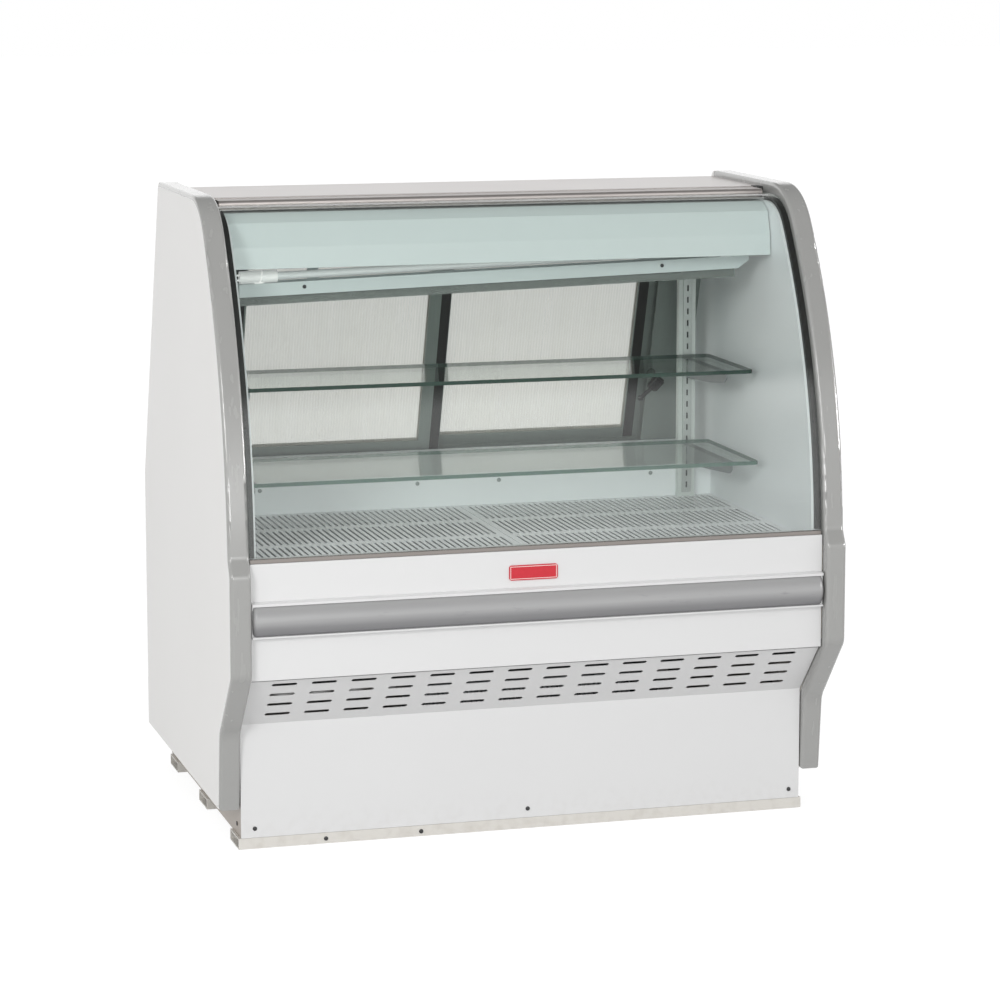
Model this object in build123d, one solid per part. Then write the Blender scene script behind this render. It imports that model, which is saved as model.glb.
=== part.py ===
"""Refrigerated deli case with a lift-up curved front glass and sliding rear doors.

Frame: origin on the floor at the centre of the footprint, +X to the right as the
customer sees it, +Y to the back, +Z up. Everything is in millimetres.
Depths are measured back from the front plane of the case; at() turns one into a Y.
"""
from build123d import *
import math
import os

# ---- Driving dimensions ---------------------------------------------------
WIDTH = 1270.0
DEPTH = 924.0
HEIGHT = 1288.0
HALF_W = WIDTH / 2

TRIM_W = 42.0            # width of the grey end trims, seen from the front
TRIM_T = 24.0            # thickness of the end trims along the outline
END_WALL = 60.0          # whole end wall, trim side to inner lining
INNER_X = HALF_W - END_WALL      # inner face of the end linings
WALL_X = HALF_W - TRIM_W         # inner face of the end panels and trims
PANEL_GAP = 1.5          # end panel sits this far inside the trim's side
TRIM_RIM = 8.0           # rounded rim of the trim that the end panel's sheet leaves bare
SHEET = 1.2              # sheet steel
END_BOTTOM_Z = 83.0      # lower edge of the end walls

BASE_X = 591.0           # half width of the base and of the front panels
RUNNER_X = 596.0
RUNNER_H = 22.0
RUNNER_D = 84.0
RUNNER_DEPTHS = (138.0, 462.0, 786.0)    # front edge of each runner

KICK_D = 138.0           # face of the kick panel
KICK_BEND_Z = 254.0
GRILLE_TOP_D = 36.0
GRILLE_TOP_Z = 362.0
GRILLE_ROWS = 4
GRILLE_COLUMNS = 14
GRILLE_PITCH_X = 80.0
GRILLE_PITCH_UP = 34.0   # along the slope
PANEL_D = 24.0           # face of the white front panel
PANEL_BOTTOM_Z = 366.0
SILL_Z = 597.0           # top of the front panel, under the glass

# Big arc of the end outline and of the glass, with one common centre
OUTLINE_R = 1150.0
OUTLINE_CORNER_R = 154.0
ARC_START_D = 17.0
ARC_START_Z = 610.0
ARC_START_DEG = 2.0
ARC_END_DEG = 34.5
GLASS_INSET = 12.0       # outer face of the glass behind the trim's outline
GLASS_T = 6.0
GLASS_CORNER_R = 119.0
GLASS_BOTTOM_Z = 600.0
GLASS_END_D = 384.0
SEAL_T = 8.0
SEAL_W = 13.0
SEAL_GAP = 0.3

# Lift-up hinge of the glass
HINGE_D = 404.0
HINGE_Z = 1268.0
HINGE_KNUCKLE_R = 6.0
PIN_R = 4.0
PIN_CLEARANCE = 0.05

# Sloping back, from the top edge down to the bend
BACK_TOP_D = 712.0
BACK_BEND_Z = 640.0

TUB_BOTTOM_Z = 310.0     # underside of the tub, on the base's legs
TUB_FLOOR_Z = 361.5      # top of the lining on the tub's floor
CEILING_Z = 1247.0       # underside of the canopy lining
DECK_Z = 581.0
DECK_SLOT_ROWS = 3
DECK_SLOT_COLUMNS = 42
DECK_SLOT_X = 18.0       # centre line of the first slot
DECK_SLOT_PITCH = 13.2
PAN_FOOT_Z = 558.0       # lower edge of the deck pans' skirts
DUCT_D = 655.0           # upright face behind the deck, which carries the posts
POST_X = 513.0
POST_HALF_W = 19.0
POST_D = 640.0           # front face of the posts
PILASTER_D = 636.0       # front face of the slotted standards
INCH = 25.4
UPPER_SHELF_Z = 894.0
LOWER_SHELF_Z = 706.0
SHELF_T = 8.0

ARC_CENTRE_D = ARC_START_D + OUTLINE_R * math.cos(math.radians(ARC_START_DEG))
ARC_CENTRE_Z = ARC_START_Z - OUTLINE_R * math.sin(math.radians(ARC_START_DEG))


# ---- Helpers --------------------------------------------------------------
def at(depth):
    """Y of a place that lies this far behind the front plane."""
    return depth - DEPTH / 2


def block(x0, x1, d0, d1, z0, z1):
    """Box between two X values, two depths and two heights."""
    centre = Pos((x0 + x1) / 2, at((d0 + d1) / 2), (z0 + z1) / 2)
    return centre * Box(abs(x1 - x0), abs(d1 - d0), abs(z1 - z0))


def side_face(points):
    """Face in the side view from a list of (depth, height) points."""
    return make_face(Polyline([(at(d), z) for d, z in points], close=True))


def across(face, x0, x1):
    """Extrude a side-view face from x0 to x1."""
    return extrude(Plane.YZ.offset(x0) * face, amount=x1 - x0)


def both_sides(shape):
    """A shape and its mirror image on the other side of the case."""
    return Compound(children=[*shape.solids(), *mirror(shape, Plane.YZ).solids()])


def rod_x(x0, x1, depth, z, radius):
    """Round bar along X."""
    return Pos((x0 + x1) / 2, at(depth), z) * Rot(0, 90, 0) * Cylinder(radius, abs(x1 - x0))


def rod_y(x, d0, d1, z, radius):
    """Round bar along Y."""
    return Pos(x, at((d0 + d1) / 2), z) * Rot(90, 0, 0) * Cylinder(radius, abs(d1 - d0))


def rod_z(x, depth, z0, z1, radius):
    """Round bar along Z."""
    return Pos(x, at(depth), (z0 + z1) / 2) * Cylinder(radius, abs(z1 - z0))


def nearest_corner(face, depth, z):
    """Vertex of a side-view face nearest to a place."""
    return face.vertices().sort_by_distance((at(depth), z, 0))[0]


def save(name, shape):
    """Write one node."""
    shape.label = name
    export_step(shape, f"parts/{name}.step")


# ---- Outlines in the side view -------------------------------------------
def arc_pair(big_r, corner_r, start_deg):
    """Big arc and corner arc of the front, tangent to each other and to the top."""
    turn = math.radians(ARC_END_DEG)
    corner_d = ARC_CENTRE_D - (big_r - corner_r) * math.cos(turn)
    corner_z = ARC_CENTRE_Z + (big_r - corner_r) * math.sin(turn)
    big = CenterArc((at(ARC_CENTRE_D), ARC_CENTRE_Z), big_r, 180 - start_deg, start_deg - ARC_END_DEG)
    corner = CenterArc((at(corner_d), corner_z), corner_r, 180 - ARC_END_DEG, ARC_END_DEG - 90)
    return big, corner


def end_outline():
    """Outline of the whole end wall, trim included, with its bends rounded."""
    big, corner = arc_pair(OUTLINE_R, OUTLINE_CORNER_R, ARC_START_DEG)
    front = Polyline(
        (at(134), END_BOTTOM_Z), (at(119), 238), (at(0), 376), (at(0), 578), big @ 0
    )
    back = Polyline(
        corner @ 1,
        (at(BACK_TOP_D), HEIGHT),
        (at(DEPTH), BACK_BEND_Z),
        (at(DEPTH), END_BOTTOM_Z),
        (at(134), END_BOTTOM_Z),
    )
    face = make_face(front + big + corner + back)
    bends = [(119, 238, 40), (0, 376, 30), (0, 578, 24), (ARC_START_D, ARC_START_Z, 24)]
    bends += [(BACK_TOP_D, HEIGHT, 22), (DEPTH, BACK_BEND_Z, 20)]
    for depth, z, radius in bends:
        face = fillet(nearest_corner(face, depth, z), radius)
    return face


def glass_line(inset):
    """Front line of the glass, moved inwards by inset, from the sill to the hinge."""
    big_r = OUTLINE_R - GLASS_INSET - inset
    start = math.degrees(math.asin((GLASS_BOTTOM_Z - ARC_CENTRE_Z) / big_r))
    return arc_pair(big_r, GLASS_CORNER_R - inset, start)


def glass_band(inset, thickness, end_depth):
    """Strip that follows the glass, between two insets."""
    outer = glass_line(inset)
    inner = glass_line(inset + thickness)
    top = Line(outer[1] @ 1, (at(end_depth), (outer[1] @ 1).Y))
    under = Line((at(end_depth), (inner[1] @ 1).Y), inner[1] @ 1)
    edges = outer[0] + outer[1] + top + Line(top @ 1, under @ 0) + under
    edges += inner[1] + inner[0] + Line(inner[0] @ 0, outer[0] @ 0)
    return make_face(edges)


OUTLINE = end_outline()
INSIDE_TRIM = offset(OUTLINE, amount=-TRIM_T, kind=Kind.INTERSECTION)


def trim_face():
    """The trim runs up the front of the end wall and over its top."""
    behind = side_face([(150, 0), (DEPTH + 10, 0), (DEPTH + 10, 1000), (150, 1000)])
    slope = side_face([(702, 900), (DEPTH + 10, 900), (DEPTH + 10, 1400), (702, 1400)])
    return OUTLINE - INSIDE_TRIM - behind - slope


def liner_top_z():
    """Height of the lining's flat top, under the seal."""
    return (glass_line(GLASS_T + SEAL_GAP + SEAL_T)[1] @ 1).Y


# ---- End walls ------------------------------------------------------------
def inside_rim():
    """Side of the end wall without the trim's bare rim."""
    return offset(OUTLINE, amount=-TRIM_RIM, kind=Kind.INTERSECTION)


def end_trim():
    """Grey moulded trim, its front edges rounded and its side recessed for the panel's sheet."""
    body = across(trim_face(), WALL_X, HALF_W)
    outline_edge = OUTLINE.face().outer_wire()
    rims = []
    for edge in body.edges():
        if edge.bounding_box().size.X > 0.001:
            continue
        middle = edge @ 0.5
        if outline_edge.distance_to(Vector(middle.Y, middle.Z, 0)) < 0.05:
            rims.append(edge)
    return fillet(rims, 7.0) - across(inside_rim(), HALF_W - PANEL_GAP - SHEET, HALF_W + 1)


def end_panel():
    """Painted outer pan of the end wall, open towards the case; its sheet laps over the trim."""
    face = OUTLINE - trim_face()
    outer_x = HALF_W - PANEL_GAP
    pan = across(face, WALL_X, outer_x)
    hollow = across(offset(face, amount=-SHEET, kind=Kind.INTERSECTION), WALL_X, outer_x - SHEET)
    lap = across(inside_rim(), outer_x - SHEET, outer_x)
    return pan - hollow + lap + top_return()


def top_return():
    """Strip of the pan turned in beside the top panel, over the lining's upper edge."""
    above = side_face([(0, 1225), (0, 1400), (DEPTH, 1400), (DEPTH, 1225)])
    return across((OUTLINE - trim_face()) & above, WALL_X, WALL_X + SHEET)


def end_foam():
    """Foam that fills the end panel's pan."""
    face = offset(OUTLINE - trim_face(), amount=-SHEET, kind=Kind.INTERSECTION)
    return across(face, WALL_X, HALF_W - PANEL_GAP - SHEET) - top_return()


def end_liner():
    """White inner lining; its front edge carries the glass seal."""
    big, corner = glass_line(GLASS_T + SEAL_GAP + SEAL_T)
    top_z = liner_top_z()
    foot_d = (big @ 0).X + DEPTH / 2
    rest = Polyline(
        corner @ 1,
        (at(slope_depth(top_z, 6)), top_z),
        (at(slope_depth(BACK_BEND_Z, 6)), BACK_BEND_Z),
        (at(slope_depth(BACK_BEND_Z, 6)), 385),
        (at(foot_d), 385),
        big @ 0,
    )
    return across(make_face(big + corner + rest), INNER_X, WALL_X)


def slope_depth(z, inset):
    """Depth of the sloping back at a height, moved in square to the slope."""
    run = DEPTH - BACK_TOP_D
    rise = HEIGHT - BACK_BEND_Z
    length = math.hypot(run, rise)
    return DEPTH - run * (z - BACK_BEND_Z) / rise - inset * length / rise


# ---- Base -----------------------------------------------------------------
def cross_runners():
    """Three rectangular tubes that the case stands on."""
    tubes = []
    for front in RUNNER_DEPTHS:
        tube = block(-RUNNER_X, RUNNER_X, front, front + RUNNER_D, 0, RUNNER_H)
        bore = block(-RUNNER_X - 1, RUNNER_X + 1, front + 2.5, front + RUNNER_D - 2.5, 2.5, RUNNER_H - 2.5)
        tubes.append(tube - bore)
    return Compound(children=[t.solid() for t in tubes])


def base_frame():
    """Open tray with four uprights that carry the tub."""
    wall = 2.0
    top = 120.0
    front = KICK_D + 2
    back = 880.0
    leg = 34.0
    leg_wall = 3.0
    tray = block(-BASE_X, BASE_X, front, back, RUNNER_H, top)
    tray -= block(-BASE_X + wall, BASE_X - wall, front + wall, back - wall, RUNNER_H + wall, top + 1)
    for x in (-BASE_X + wall, BASE_X - wall - leg):
        for depth in (front + 26, back - wall - leg):
            post = block(x, x + leg, depth, depth + leg, RUNNER_H, TUB_BOTTOM_Z)
            hollow_x = x + leg_wall if x < 0 else x - leg_wall
            post -= block(
                hollow_x, hollow_x + leg, depth + leg_wall, depth + leg - leg_wall,
                RUNNER_H + wall, TUB_BOTTOM_Z + 1,
            )
            tray += post
    return tray


def kick_panel():
    """Bent sheet: slotted grille above, plain kick plate below."""
    inner_d = KICK_D + SHEET
    slope = math.atan2(GRILLE_TOP_Z - KICK_BEND_Z, KICK_D - GRILLE_TOP_D)
    shift_z = SHEET / math.cos(slope)
    bend_shift = SHEET * math.tan((math.pi / 2 - slope) / 2)
    section = side_face([
        (KICK_D, RUNNER_H + 0.5), (KICK_D, KICK_BEND_Z), (GRILLE_TOP_D, GRILLE_TOP_Z),
        (GRILLE_TOP_D + 16, GRILLE_TOP_Z), (GRILLE_TOP_D + 16, GRILLE_TOP_Z - SHEET),
        (GRILLE_TOP_D + (shift_z - SHEET) / math.tan(slope) + 2 * SHEET, GRILLE_TOP_Z - SHEET),
        (inner_d, KICK_BEND_Z + bend_shift), (inner_d, RUNNER_H + 0.5),
    ])
    panel = across(section, -BASE_X, BASE_X)
    face_plane = Plane(
        origin=(0, at(GRILLE_TOP_D), GRILLE_TOP_Z),
        x_dir=(1, 0, 0),
        z_dir=(0, -math.sin(slope), -math.cos(slope)),
    )
    slots = Sketch()
    for row in range(GRILLE_ROWS):
        for column in range(GRILLE_COLUMNS):
            x = GRILLE_PITCH_X * (column - (GRILLE_COLUMNS - 1) / 2)
            slots += Pos(x, -(15 + GRILLE_PITCH_UP * row)) * SlotOverall(51, 9.5)
    cutter = extrude(face_plane * slots, amount=5, both=True)
    return panel - cutter


def front_panel():
    """White front: bent in at the top under the glass and at the bottom over the grille."""
    section = side_face([
        (PANEL_D, PANEL_BOTTOM_Z), (PANEL_D, SILL_Z), (42, SILL_Z), (42, SILL_Z - SHEET),
        (PANEL_D + SHEET, SILL_Z - SHEET), (PANEL_D + SHEET, PANEL_BOTTOM_Z + SHEET),
        (58, PANEL_BOTTOM_Z + SHEET), (58, PANEL_BOTTOM_Z),
    ])
    sill = block(-INNER_X, INNER_X, 41, 92, SILL_Z - SHEET, SILL_Z)
    return across(section, -BASE_X, BASE_X) + sill


BUMPER_LOW_Z = 456.0
BUMPER_HIGH_Z = 514.0
BUMPER_END_X = 566.0


def bumper_rail():
    """White aluminium carrier, with a small ledge over the bumper."""
    section = side_face([
        (PANEL_D, BUMPER_LOW_Z - 4), (PANEL_D, BUMPER_HIGH_Z + 9), (11, BUMPER_HIGH_Z + 6),
        (11, BUMPER_HIGH_Z + 1), (16, BUMPER_HIGH_Z + 1), (16, BUMPER_LOW_Z - 1),
        (11, BUMPER_LOW_Z - 1), (11, BUMPER_LOW_Z - 4),
    ])
    return across(section, -BASE_X + 1, BASE_X - 1)


def bumper_face():
    """Convex section of the grey bumper strip."""
    low = (at(15.9), BUMPER_LOW_Z)
    high = (at(15.9), BUMPER_HIGH_Z)
    nose_low = (at(13.5), BUMPER_LOW_Z)
    nose_high = (at(13.5), BUMPER_HIGH_Z)
    nose = ThreePointArc(nose_low, (at(1), (BUMPER_LOW_Z + BUMPER_HIGH_Z) / 2), nose_high)
    return make_face(nose + Line(nose_high, high) + Line(high, low) + Line(low, nose_low))


def bumper_insert():
    """Grey vinyl strip between the end caps."""
    return across(bumper_face(), -BUMPER_END_X, BUMPER_END_X)


def bumper_end_caps():
    """Moulded caps that close the bumper at each end."""
    cap = across(bumper_face(), BUMPER_END_X, BASE_X - 2)
    tips = cap.edges().filter_by(lambda e: e.bounding_box().min.X > BASE_X - 2.01)
    tips = [e for e in tips if (e @ 0.5).Y < at(13)]
    return both_sides(fillet(tips, 9.0))


def name_plate():
    """Blank rounded plate on the front panel."""
    plate = Pos(-20, at(PANEL_D - 1.5), 553) * Rot(90, 0, 0) * extrude(
        RectangleRounded(100, 30, 5), amount=1.5, both=True
    )
    return plate - block(-80, 40, PANEL_D, PANEL_D + 10, 500, 600)


# ---- Top and lamp ---------------------------------------------------------
def top_panel():
    """Insulated top, stepped at the back over the door frame."""
    low = liner_top_z()
    section = side_face([
        (430, low), (430, 1275), (BACK_TOP_D, 1275), (BACK_TOP_D, 1264), (658, 1264), (658, low),
    ])
    return across(section, -WALL_X, WALL_X)


def hinge_socket_face(low):
    """Fixed half of the hinge: a hollow that the knuckle of the glass turns in."""
    face = side_face([(395, low), (430, low), (430, 1275), (395, 1275)])
    return face - Pos(at(HINGE_D), HINGE_Z) * Circle(HINGE_KNUCKLE_R + 0.5) - side_face([
        (390, HINGE_Z - 5), (HINGE_D + 6.5, HINGE_Z - 5), (HINGE_D + 6.5, 1280), (390, 1280),
    ])


def top_rail():
    """Aluminium rail along the front of the top, hollowed for the hinge knuckle."""
    return across(hinge_socket_face(liner_top_z()), -INNER_X - 3, INNER_X + 3)


def glass_hinge_bushes():
    """End blocks with the bores that the hinge pins turn in."""
    low = liner_top_z() + 2
    face = side_face([(394, low), (430, low), (430, 1276), (394, 1276)])
    block_body = across(face, INNER_X + 4, WALL_X)
    return both_sides(block_body - rod_x(INNER_X, WALL_X + 1, HINGE_D, HINGE_Z, PIN_R + PIN_CLEARANCE))


def canopy_liner():
    """White fascia behind the glass and the ceiling that runs back to the doors."""
    upper = CEILING_Z + 2.5
    outer = [(344, upper), (311, 1232), (296, 1184), (291, 1142), (306, 1140), (306, 1143)]
    inner = [(294, 1145), (298.5, 1183), (313.5, 1230), (347, CEILING_Z), (656, CEILING_Z), (656, upper)]
    half = INNER_X - 2
    return across(side_face(outer + inner), -half, half)


LAMP_DROP = 31.0         # how far the lamp's left end hangs below its right end
LAMP_LENGTH = 1084.0
LAMP_TILT = math.degrees(math.asin(LAMP_DROP / LAMP_LENGTH))
LAMP_D = 337.0
LAMP_TOP_Z = 1122.0      # top of the channel's face at mid length
LAMP_SCREW_X = (-408.0, 351.0)
LAMP_SCREW_Z = -11.0


def tilted(shape):
    """Put a lamp piece, built level about its own centre, in its hanging place."""
    return Pos(0, at(LAMP_D), LAMP_TOP_Z) * Rot(0, -LAMP_TILT, 0) * shape


def lamp_channel():
    """Bent tray under the tube, with its right end cut at an angle."""
    half = LAMP_LENGTH / 2
    section = Polyline(
        [(0, 0), (0, -26), (46, -26), (46, 0), (44.5, 0), (44.5, -24.5), (1.5, -24.5), (1.5, 0)],
        close=True,
    )
    tray = extrude(Plane.YZ.offset(-half) * make_face(section), amount=LAMP_LENGTH)
    corner = Polyline([(half - 26, -27), (half + 1, -27), (half + 1, -9)], close=True)
    tray -= extrude(Plane.XZ.offset(-60) * make_face(corner), amount=120)
    for x in LAMP_SCREW_X:
        tray -= Pos(x, 0.75, LAMP_SCREW_Z) * Rot(90, 0, 0) * Cylinder(2.2, 4)
    channel = tilted(tray)
    for x in (-380, 380):
        low = LAMP_TOP_Z - 20 + x * LAMP_DROP / LAMP_LENGTH
        channel += block(x - 12, x + 12, LAMP_D + 44.5, LAMP_D + 46, low, CEILING_Z)
    return channel


def lamp_diffuser():
    """Clear grey lens strip clipped along the bottom of the channel."""
    lens = Pos(-14, 26, -35) * Box(LAMP_LENGTH - 30, 36, 18)
    lens -= Pos(-14, 26, -34) * Box(LAMP_LENGTH - 34, 32, 17)
    return tilted(lens)


def lamp_tube():
    """Slim fluorescent tube."""
    return tilted(Pos(0, 20, 12) * Rot(0, 90, 0) * Cylinder(8, 920))


def lamp_holders():
    """Two-part sleeves over the tube's ends, with a pair of contact pins outside."""
    pieces = []
    for side in (-1, 1):
        sleeve = Rot(0, 90, 0) * Cylinder(13, 76)
        sleeve -= Pos(-side * 28, 0, 0) * Rot(0, 90, 0) * Cylinder(8, 76)
        groove = Pos(-side * 4, 0, 0) * Rot(0, 90 - side * 14, 0) * (Cylinder(14, 2.4) - Cylinder(10.5, 2.4))
        foot = Pos(0, 0, -24.25) * Box(18, 16, 24.5)
        pins = Pos(side * 44, 0, 5) * Rot(0, 90, 0) * Cylinder(2, 14)
        pins += Pos(side * 44, 0, -5) * Rot(0, 90, 0) * Cylinder(2, 14)
        bridge = Pos(side * 37.5, 0, 0) * Rot(0, 90, 0) * Cylinder(9, 3)
        holder = sleeve - groove + foot + bridge + pins
        pieces += (tilted(Pos(side * 498, 20, 12) * holder)).solids()
    return Compound(children=pieces)


# ---- Front glass ----------------------------------------------------------
def front_glass():
    """Curved glass, one sheet."""
    return across(glass_band(0, GLASS_T, GLASS_END_D), -BASE_X, BASE_X)


def glass_hinge_profile():
    """Rounded rail clamped on the glass's top edge, with the hinge knuckle at its back."""
    glass_top = (glass_line(0)[1] @ 1).Y
    glass_under = glass_top - GLASS_T
    jaw_low = glass_under - 5
    body = side_face([
        (354, glass_top), (354, 1274), (HINGE_D, 1274), (HINGE_D, 1264), (392, 1264), (392, jaw_low),
        (366, jaw_low), (366, glass_under), (GLASS_END_D, glass_under), (GLASS_END_D, glass_top),
    ])
    body = fillet(nearest_corner(body, 354, 1274), 6.5)
    body += Pos(at(HINGE_D), HINGE_Z) * Circle(HINGE_KNUCKLE_R)
    half = INNER_X + 2
    rail = across(body, -half, half)
    for side in (-1, 1):
        rail -= rod_x(side * (half - 31), side * (half + 1), HINGE_D, HINGE_Z, PIN_R)
    return rail


def glass_hinge_pins():
    """Steel pins pressed into the hinge profile."""
    return both_sides(rod_x(INNER_X - 28, WALL_X - 1, HINGE_D, HINGE_Z, PIN_R))


def glass_edge_rail():
    """Slim channel along the glass's lower edge, which is also the lifting grip."""
    outer_d = (glass_line(0)[0] @ 0).X + DEPTH / 2
    low = SILL_Z + 0.6
    lip = SILL_Z + 8.0
    section = side_face([
        (outer_d - 2, low), (outer_d - 2, lip), (outer_d - 0.2, lip), (outer_d, GLASS_BOTTOM_Z),
        (outer_d + GLASS_T, GLASS_BOTTOM_Z), (outer_d + GLASS_T, lip), (outer_d + GLASS_T + 2, lip),
        (outer_d + GLASS_T + 2, low),
    ])
    glass = glass_band(0, GLASS_T, GLASS_END_D)
    return across(section - glass, -BASE_X + 1, BASE_X - 1)


def glass_seals():
    """Black bulb strips on the front edges of the end linings."""
    band = glass_band(GLASS_T + SEAL_GAP, SEAL_T, 352)
    band -= side_face([(0, 0), (200, 0), (200, 607), (0, 607)])
    return both_sides(across(band, WALL_X - SEAL_W, WALL_X - 0.5))


# ---- Rear door frame and doors -------------------------------------------
SLOPE_LENGTH = math.hypot(DEPTH - BACK_TOP_D, HEIGHT - BACK_BEND_Z)
SLOPE_OUT_D = (HEIGHT - BACK_BEND_Z) / SLOPE_LENGTH
SLOPE_OUT_Z = (DEPTH - BACK_TOP_D) / SLOPE_LENGTH
BACK_PLANE = Plane(
    origin=(0, at(DEPTH), BACK_BEND_Z),
    x_dir=(1, 0, 0),
    z_dir=(0, -SLOPE_OUT_D, -SLOPE_OUT_Z),
)
FRAME_LOW = 16.0         # along the slope, from the bend
FRAME_HIGH = 650.0
FRAME_BACK = 8.0         # square to the slope, from the outer face
FRAME_FRONT = 58.0
OPENING_X = 478.0
SILL_TOP = 52.0
HEADER_LOW = 612.0
DOOR_T = 18.0
DOOR_LOW = 45.0
DOOR_HIGH = 619.0
DOOR_RAIL = 30.0


def sloped(x0, x1, up0, up1, in0, in1):
    """Box in the sloping back: across, up the slope, and in from the outer face."""
    centre = Pos((x0 + x1) / 2, (up0 + up1) / 2, (in0 + in1) / 2)
    return BACK_PLANE * centre * Box(x1 - x0, up1 - up0, in1 - in0)


def rear_door_frame():
    """Aluminium frame with two tracks in its head, sill and jambs."""
    frame = sloped(-INNER_X, INNER_X, FRAME_LOW, FRAME_HIGH, FRAME_BACK, FRAME_FRONT)
    frame -= sloped(-OPENING_X, OPENING_X, SILL_TOP, HEADER_LOW, 0, 70)
    for door in (LEFT_DOOR, RIGHT_DOOR):
        lane = door["lane"]
        frame -= sloped(-494, 494, DOOR_LOW - 1, DOOR_HIGH + 3, lane - 1, lane + DOOR_T + 1)
    return frame


# Each door: its two edges, its lane, its stile widths, the black strips let into its
# inside face, and the finger groove in its outside face
LEFT_DOOR = {
    "edges": (-490.0, 10.0), "lane": 35.0, "stiles": (48.0, 48.0),
    "strips": [(-466.0, -446.0), (-12.0, 9.0)], "groove": (-470.0, -452.0),
}
RIGHT_DOOR = {
    "edges": (-10.0, 490.0), "lane": 13.0, "stiles": (20.0, 48.0),
    "strips": [(444.0, 466.0)], "groove": (452.0, 470.0),
}


def door_glass(door, rebate):
    """Glazing unit, let into the door's frame by the rebate."""
    (left, right), lane = door["edges"], door["lane"]
    left_stile, right_stile = door["stiles"]
    low = DOOR_LOW + DOOR_RAIL - rebate
    high = DOOR_HIGH - DOOR_RAIL + rebate
    return sloped(left + left_stile - rebate, right - right_stile + rebate, low, high, lane + 4, lane + 14)


def door_strips(door):
    """Black vinyl strips, full height, flush with the inside face."""
    lane = door["lane"]
    strips = [
        sloped(x0, x1, DOOR_LOW + 8, DOOR_HIGH - 8, lane + DOOR_T - 3.5, lane + DOOR_T).solid()
        for x0, x1 in door["strips"]
    ]
    return Compound(children=strips)


def door_frame(door):
    """Four-sided aluminium frame, grooved for the strips and for the fingers."""
    (left, right), lane = door["edges"], door["lane"]
    left_stile, right_stile = door["stiles"]
    inner_left = left + left_stile
    inner_right = right - right_stile
    frame = sloped(left, right, DOOR_LOW, DOOR_HIGH, lane, lane + DOOR_T)
    frame -= sloped(inner_left, inner_right, DOOR_LOW + DOOR_RAIL, DOOR_HIGH - DOOR_RAIL, lane - 1, lane + 19)
    groove_left, groove_right = door["groove"]
    frame -= sloped(groove_left, groove_right, 250, 410, lane - 1, lane + 10)
    frame -= door_glass(door, 6)
    return frame - door_strips(door)


# ---- Shelves --------------------------------------------------------------
def rear_posts():
    """White upright posts from the duct cover to the ceiling."""
    post = block(POST_X - POST_HALF_W, POST_X + POST_HALF_W, POST_D, DUCT_D, PAN_FOOT_Z + 2, CEILING_Z)
    return both_sides(post)


def pilasters():
    """Shelf standards: shallow channels screwed to the posts, with a slot every inch."""
    low, high = 590.0, 1108.0
    strip = block(POST_X - 10, POST_X + 10, PILASTER_D, POST_D, low, high)
    strip -= block(POST_X - 8.5, POST_X + 8.5, PILASTER_D + 1.5, POST_D + 1, low - 1, high + 1)
    for i in range(20):
        z = low + 10 + INCH * i
        strip -= block(POST_X - 2, POST_X + 2, PILASTER_D - 1, PILASTER_D + 2, z, z + 13)
    return both_sides(strip)


def bracket(top_z, front):
    """Tapered sheet bracket with a lip under the glass."""
    face = side_face([
        (PILASTER_D, top_z), (front, top_z), (front, top_z - 14), (front + 14, top_z - 24),
        (480, top_z - 34), (PILASTER_D, top_z - 44),
    ])
    web = across(face, POST_X - 1.5, POST_X + 1.5)
    lip = block(POST_X - 9, POST_X + 9, front, PILASTER_D - 2, top_z - 2, top_z)
    return web + lip


def shelf_brackets():
    """Four brackets, two to a shelf."""
    upper = bracket(UPPER_SHELF_Z - SHELF_T, 385)
    lower = bracket(LOWER_SHELF_Z - SHELF_T, 345)
    return Compound(children=[*both_sides(upper).solids(), *both_sides(lower).solids()])


def glass_shelf(top_z, front):
    """Plate glass shelf with ground corners."""
    plate = block(-560, 560, front, 632, top_z - SHELF_T, top_z)
    return fillet(plate.edges().filter_by(Axis.Z), 8)


# ---- Tub, deck and duct ---------------------------------------------------
TUB_OUTER = [(42, 592), (42, 400), (160, TUB_BOTTOM_Z), (900, TUB_BOTTOM_Z), (900, 634)]
TUB_INNER = [(850, 700), (850, TUB_FLOOR_Z - 1.5), (180, TUB_FLOOR_Z - 1.5), (92, 430), (92, 700)]


def tub_shell():
    """Galvanised outer skin of the tub."""
    whole = side_face(TUB_OUTER)
    inside = offset(whole, amount=-SHEET, kind=Kind.INTERSECTION)
    open_top = side_face([(42 + SHEET, 580), (42 + SHEET, 640), (900 - SHEET, 640), (900 - SHEET, 580)])
    return across(whole - inside - open_top, -INNER_X, INNER_X)


def tub_cavity():
    """Side view of the open space inside the tub."""
    return side_face(TUB_INNER)


def tub_liner():
    """White inner skin, with a ledge at the front for the deck pans."""
    cavity = tub_cavity()
    skin = cavity - offset(cavity, amount=-1.5, kind=Kind.INTERSECTION)
    skin -= side_face([(91, 592), (91, 701), (300, 701), (300, 592)])
    skin -= side_face([(93.5, 650), (93.5, 701), (848.5, 701), (848.5, 650)])
    skin -= side_face([(840, 634), (840, 701), (851, 701), (851, 634)])
    ledge = PAN_FOOT_Z - 1.5
    skin += side_face([(93.5, ledge), (93.5, PAN_FOOT_Z), (108, PAN_FOOT_Z), (108, ledge)])
    return across(skin, -INNER_X, INNER_X)


def tub_foam():
    """Foam between the two skins."""
    whole = offset(side_face(TUB_OUTER), amount=-SHEET, kind=Kind.INTERSECTION)
    cap = side_face([(42 + SHEET, 580), (42 + SHEET, 592), (92, 592), (92, 580)])
    rear_cap = side_face([(850, 600), (850, 634), (900 - SHEET, 634), (900 - SHEET, 600)])
    return across(whole + cap + rear_cap - tub_cavity(), -INNER_X, INNER_X)


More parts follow.
